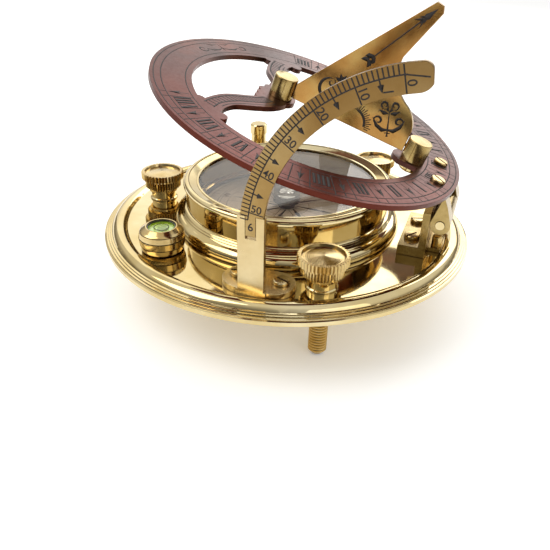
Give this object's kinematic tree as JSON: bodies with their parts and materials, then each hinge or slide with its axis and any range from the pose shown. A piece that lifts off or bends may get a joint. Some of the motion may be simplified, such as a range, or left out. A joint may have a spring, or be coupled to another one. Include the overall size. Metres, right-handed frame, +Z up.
{
  "type": "sundial compass",
  "caption": "Brass sundial compass: a hinged equatorial hour ring with folding gnomon and latitude arc over a glazed compass on a round levelling base.",
  "frame": {"origin": "centre of the round base, on its flat underside", "axes": "+Z up; +X from the compass centre to the hour ring's hinge (the noon line); +Y away from the latitude arc. The levelling screws reach below z = 0"},
  "size_m": [0.127, 0.127, 0.098],
  "materials": {
    "brass": "polished and lacquered",
    "copper_brass": "copper-red antiqued, lacquered",
    "steel": "bright",
    "blackened": "blackened",
    "card": "matt printed card",
    "glass": "clear",
    "cap_glass": "clear",
    "level_liquid": "clear green liquid"
  },
  "bodies": {
    "base": {"base_plate": "brass", "levelling_bushes": "brass", "compass_lower_ring": "brass", "compass_case": "brass", "compass_bezel": "brass", "compass_glass": "glass", "compass_pivot": "steel", "compass_case_screws": "brass", "lock_pillar": "brass", "lift_lever_pin": "steel", "lever_cover": "brass", "level_body": "brass", "level_liquid": "level_liquid", "level_lens": "glass", "level_ring": "blackened", "level_spigot": "brass", "arc_bracket": "brass", "arc_bracket_screws": "brass", "arc_pin": "brass", "hinge_bracket": "brass", "hinge_bracket_screws": "brass", "hinge_rest_studs": "brass", "hinge_pin": "brass"},
    "hour_ring": {"hour_ring": "copper_brass", "hinge_ring_leaf": "brass", "hinge_leaf_screws": "brass", "gnomon_post_left": "brass", "gnomon_post_right": "brass", "gnomon_post_screws": "brass", "gnomon_pins": "brass"},
    "gnomon": {"gnomon_blade": "brass"},
    "latitude_arc": {"latitude_arc": "brass"},
    "card": {"compass_card": "card", "card_hub": "blackened", "card_cap": "cap_glass", "card_magnets": "steel"},
    "lock_knob": {"needle_lock_knob": "brass"},
    "lift_lever": {"lift_lever": "steel"},
    "lift_pin": {"lift_pin": "brass"},
    "tip_front": {"levelling_tip_front": "steel"},
    "screw_front": {"levelling_screw_front": "brass"},
    "tip_back": {"levelling_tip_back": "steel"},
    "screw_back": {"levelling_screw_back": "brass"},
    "tip_left": {"levelling_tip_left": "steel"},
    "screw_left": {"levelling_screw_left": "brass"}
  },
  "joints": [
    {"name": "ring_tilt", "type": "hinge", "parent": "base", "child": "hour_ring", "pos_m": [0.0542, 0, 0.0162], "axis": [0, 1, 0], "range_deg": [-18.3, 71.7]},
    {"name": "gnomon_fold", "type": "hinge", "parent": "hour_ring", "child": "gnomon", "pos_m": [0.01954, 0, 0.04167], "axis": [0.9494, 0, -0.314], "range_deg": [-90, 90]},
    {"name": "arc_fold", "type": "hinge", "parent": "base", "child": "latitude_arc", "pos_m": [0.0083, -0.05355, 0.0234], "axis": [1, 0, 0], "range_deg": [0, 90]},
    {"name": "card_spin", "type": "hinge", "parent": "base", "child": "card", "pos_m": [0, 0, 0.0067], "axis": [0, 0, 1], "continuous": true},
    {"name": "lock_turn", "type": "hinge", "parent": "base", "child": "lock_knob", "pos_m": [-0.02704, 0.04086, 0.014], "axis": [0, 0, 1], "range_deg": [0, 90]},
    {"name": "lever_tilt", "type": "hinge", "parent": "base", "child": "lift_lever", "pos_m": [-0.0149, 0.02252, 0.00145], "axis": [-0.8339, -0.5519, 0], "range_deg": [0, 1.25]},
    {"name": "lift_slide", "type": "slide", "parent": "base", "child": "lift_pin", "axis": [0, 0, 1], "range_m": [0, 0.00045]},
    {"name": "rise_front", "type": "slide", "parent": "base", "child": "tip_front", "axis": [0, 0, 1], "range_m": [0, 0.008]},
    {"name": "turn_front", "type": "hinge", "parent": "tip_front", "child": "screw_front", "pos_m": [0.02544, -0.04071, 0], "axis": [0, 0, 1], "range_deg": [0, 2880]},
    {"name": "rise_back", "type": "slide", "parent": "base", "child": "tip_back", "axis": [0, 0, 1], "range_m": [0, 0.008]},
    {"name": "turn_back", "type": "hinge", "parent": "tip_back", "child": "screw_back", "pos_m": [0.02216, 0.04258, 0], "axis": [0, 0, 1], "range_deg": [0, 2880]},
    {"name": "rise_left", "type": "slide", "parent": "base", "child": "tip_left", "axis": [0, 0, 1], "range_m": [0, 0.008]},
    {"name": "turn_left", "type": "hinge", "parent": "tip_left", "child": "screw_left", "pos_m": [-0.04791, -0.00293, 0], "axis": [0, 0, 1], "range_deg": [0, 2880]}
  ],
  "couplings": [
    {"joint": "lever_tilt", "follows": "lock_turn", "ratio": 0.013889},
    {"joint": "lift_slide", "follows": "lock_turn", "m_per_rad": 0.00028647},
    {"joint": "rise_front", "follows": "turn_front", "m_per_rad": 0.00015915},
    {"joint": "rise_back", "follows": "turn_back", "m_per_rad": 0.00015915},
    {"joint": "rise_left", "follows": "turn_left", "m_per_rad": 0.00015915}
  ]
}
